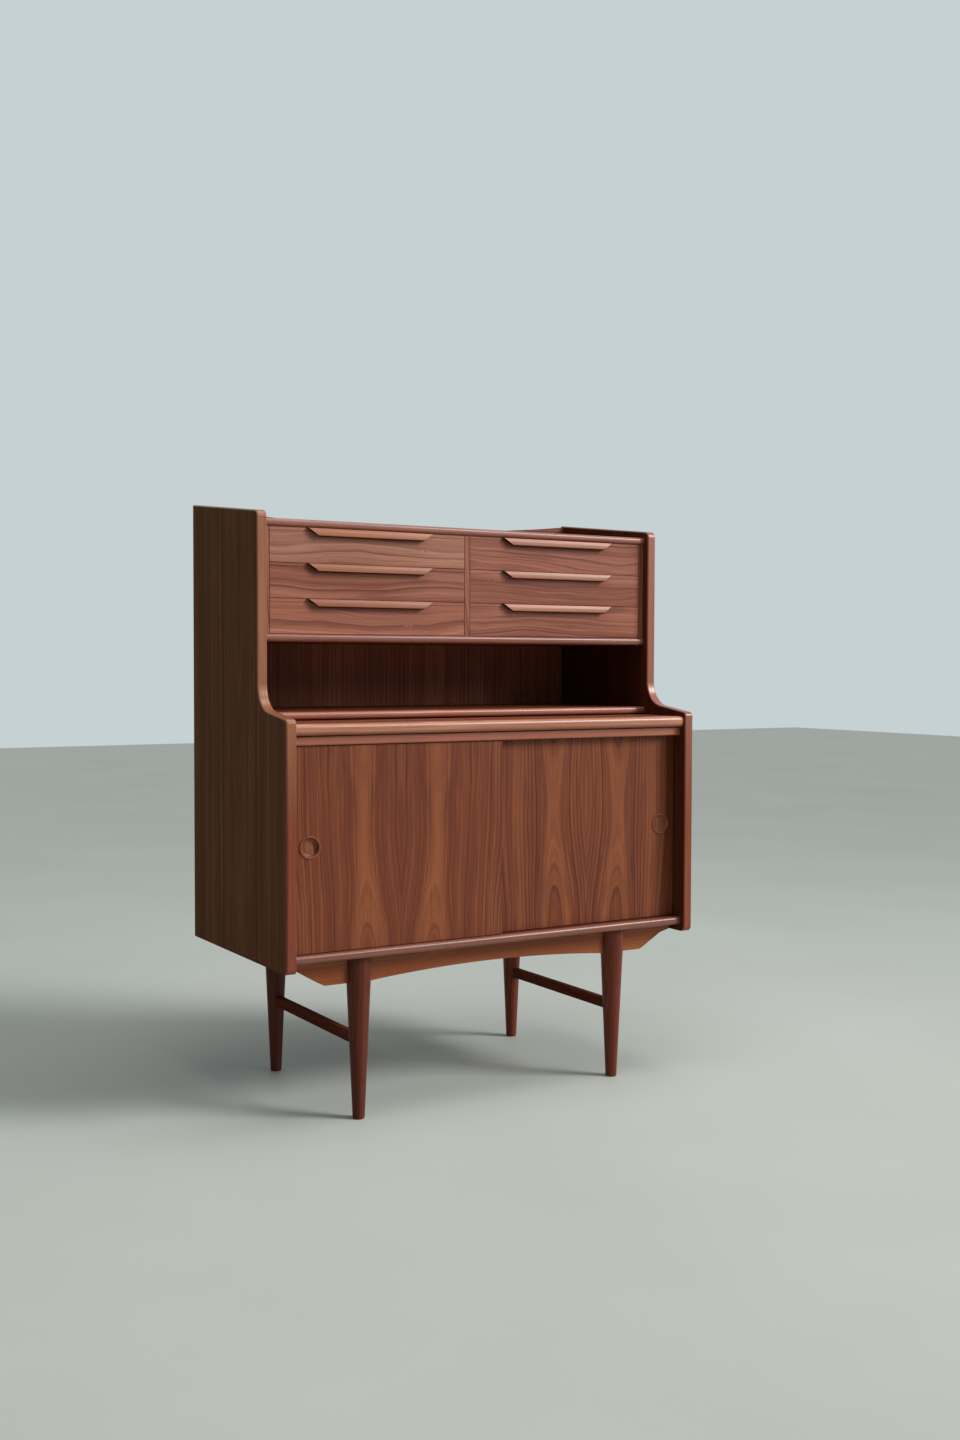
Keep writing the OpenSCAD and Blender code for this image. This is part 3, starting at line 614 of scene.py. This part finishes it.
def make_lipping(node, side, tones, heart):
    """Its flat faces are veneered with the side panel, and its edge shows solid wood, darker
    below the shoulder."""
    mesh = clean_copy(node)
    path = outer_path(mesh)
    length = sum((b - a).length for a, b in zip(path, path[1:])) / MM
    edge_wood = wood(
        node, "path", tones, heart, ring=3.2, lines=0.4,
        fade=(length - PALE_FROM, length - DARK_FROM, TEAK_LIPPING_LOW),
        gloss=0.3, specular=0.4, bump=SMOOTH,
    )

    middles = [(a.yz + b.yz) / 2 for a, b in zip(path, path[1:])]

    def on_path(edge):
        one, other = (vert.co for vert in edge.verts)
        spot = (one.yz + other.yz) / 2
        return abs(one.x - other.x) < 1e-6 and any((spot - m).length < 1e-5 for m in middles)

    round_edges(mesh, [e for e in mesh.edges if on_path(e)], LIPPING_ROUND, segments=5)
    for face in mesh.faces:
        if abs(face.normal.x) > 0.999:
            face.material_index = 1
    piece = stand_in(node, mesh)
    lay_grain_along(piece, path)
    dress(piece, edge_wood, MATERIALS[side])


make_lipping("side_lipping_left", "side_left", TEAK_LIPPING, (-380, 20))
make_lipping("side_lipping_right", "side_right", TEAK_PALE, (480, 20))

# --- the other pieces ----------------------------------------------------------------------------

# Millimetres: the height of the dark glue line at the foot of a pull's strip, how far the lip's
# front stands out in its middle, within what depth its points lie, and how far behind it the
# strip is at least
GLUE_LINE = 0.6
LIP_BULGE = 1.1
LIP_FRONT = 5
STRIP_BEHIND = 9


def slants(face):
    """True for the faces at a pull's two ends."""
    return abs(face.normal.x) > 0.3 and abs(face.normal.z) > 0.3


def cut_level(mesh, height):
    """Cuts the faces in two at a height, so that each half can have its own look or place."""
    everything = mesh.verts[:] + mesh.edges[:] + mesh.faces[:]
    bmesh.ops.bisect_plane(mesh, geom=everything, plane_co=(0, 0, height), plane_no=(0, 0, 1))


def swell(mesh, front, low, high):
    """Makes the front face of a pull's lip convex."""
    for share in (0.2, 0.4, 0.6, 0.8):
        cut_level(mesh, low + share * (high - low))
    for vert in mesh.verts:
        share = (vert.co.z - low) / (high - low)
        if vert.co.y < front + LIP_FRONT * MM:
            vert.co.y -= 4 * share * (1 - share) * LIP_BULGE * MM
    mesh.normal_update()


def make_pull(node):
    """The lip's front is convex and the front arrises of its ends are rounded. Its slanted ends and
    underside get a dark wood, which is painted shade; on the ends it also stands for end grain. The strip
    looks like the front below it, past a dark glue line."""
    mesh = clean_copy(node)
    low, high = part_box(node)
    front = low.y
    drawer_front = node.replace("_pull", "_front")

    def stands_out(edge):
        at_front = all(v.co.y < front + LIP_FRONT * MM for v in edge.verts)
        return at_front and any(slants(f) for f in edge.link_faces)

    round_edges(mesh, [e for e in sharp_edges(mesh) if stands_out(e)], 0.9)
    # Painted shade: the slanted ends and the underside get the dark wood
    for face in mesh.faces:
        if slants(face) or face.normal.z < -0.3:
            face.material_index = 1
    swell(mesh, front, low.z, high.z)
    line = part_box(drawer_front)[1].z + GLUE_LINE * MM
    cut_level(mesh, line)
    for face in mesh.faces:
        spot = face.calc_center_median()
        if face.normal.y < -0.99 and spot.y > front + STRIP_BEHIND * MM:
            face.material_index = 1 if spot.z < line else 2
    dress(stand_in(node, mesh), MATERIALS[node], PULL_END_GRAIN_GLUE_AND_PAINTED_SHADE, MATERIALS[drawer_front])


for node, obj in NODES.items():
    slot = SLOT_OF[node]
    if slot == "teak_front":
        soften(node, 0.35)
    elif slot == "teak_pull":
        make_pull(node)
    elif slot == "teak_door":
        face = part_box(node)[0].y
        soften(node, 0.8, lambda e: all(abs(v.co.y - face) < 1e-5 for v in e.verts))
    elif slot != "teak_lipping":
        dress(obj, MATERIALS[node])


# --- floor, light and background -------------------------------------------------------------------

def make_floor():
    data = bpy.data.meshes.new("floor")
    size = 12.0
    corners = [(-size, -size, 0), (size, -size, 0), (size, size, 0), (-size, size, 0)]
    data.from_pydata(corners, [], [(0, 1, 2, 3)])
    floor = bpy.data.objects.new("floor", data)
    bpy.context.scene.collection.objects.link(floor)
    graph = Graph("floor")
    cloud = graph.noise(graph.scaled((1.5, 1.5, 1.5)), 4.0)
    colour = graph.mix(cloud, tone("b4b8af"), tone("c2c6be"))
    dress(floor, graph.finish(colour, 0.6, cloud, 0.2 * MM, specular=0.3))


def way_to(azimuth, height):
    """Direction of a lamp, in degrees to the right of the front and above the floor."""
    azimuth, height = math.radians(azimuth), math.radians(height)
    return Vector((
        math.sin(azimuth) * math.cos(height), -math.cos(azimuth) * math.cos(height), math.sin(height)
    ))


def add_lamp(name, kind, way, power, distance=8.0, target=(0.0, 0.0, 0.6), **settings):
    data = bpy.data.lights.new(name, kind)
    data.energy = power
    for key, value in settings.items():
        setattr(data, key, value)
    lamp = bpy.data.objects.new(name, data)
    bpy.context.scene.collection.objects.link(lamp)
    lamp.location = Vector(target) + way * distance
    lamp.rotation_mode = "QUATERNION"
    lamp.rotation_quaternion = (-way).to_track_quat("-Z", "Y")


def backdrop(tree, colour, strength):
    made = tree.nodes.new("ShaderNodeBackground")
    made.inputs["Color"].default_value = colour
    made.inputs["Strength"].default_value = strength
    return made.outputs[0]


def make_world():
    """A bright pale wall for the camera and for reflections, and a dimmer light from all round."""
    world = bpy.data.worlds.new("studio")
    bpy.context.scene.world = world
    world.use_nodes = True
    tree = world.node_tree
    tree.nodes.clear()
    rays = tree.nodes.new("ShaderNodeLightPath")
    shown = rays.outputs["Is Camera Ray"]
    for kind in ("Is Glossy Ray", "Is Transmission Ray"):
        either = tree.nodes.new("ShaderNodeMath")
        either.operation = "MAXIMUM"
        tree.links.new(shown, either.inputs[0])
        tree.links.new(rays.outputs[kind], either.inputs[1])
        shown = either.outputs[0]
    blend = tree.nodes.new("ShaderNodeMixShader")
    tree.links.new(shown, blend.inputs[0])
    tree.links.new(backdrop(tree, (0.86, 0.93, 1.0, 1), 0.22), blend.inputs[1])
    tree.links.new(backdrop(tree, (0.86, 0.98, 1.0, 1), 0.65), blend.inputs[2])
    output = tree.nodes.new("ShaderNodeOutputWorld")
    tree.links.new(blend.outputs[0], output.inputs[0])


make_floor()
add_lamp("key", "SUN", way_to(48, 32), 2.4, angle=math.radians(20))
add_lamp("ceiling", "AREA", way_to(20, 78), 48, 3.0, shape="RECTANGLE", size=2.4, size_y=1.6)
add_lamp(
    "window", "AREA", way_to(36, 18), 38, 4.2, (0.0, 0.0, 1.0), shape="RECTANGLE", size=1.4, size_y=1.2
)
make_world()
bpy.context.scene.view_settings.view_transform = "Standard"
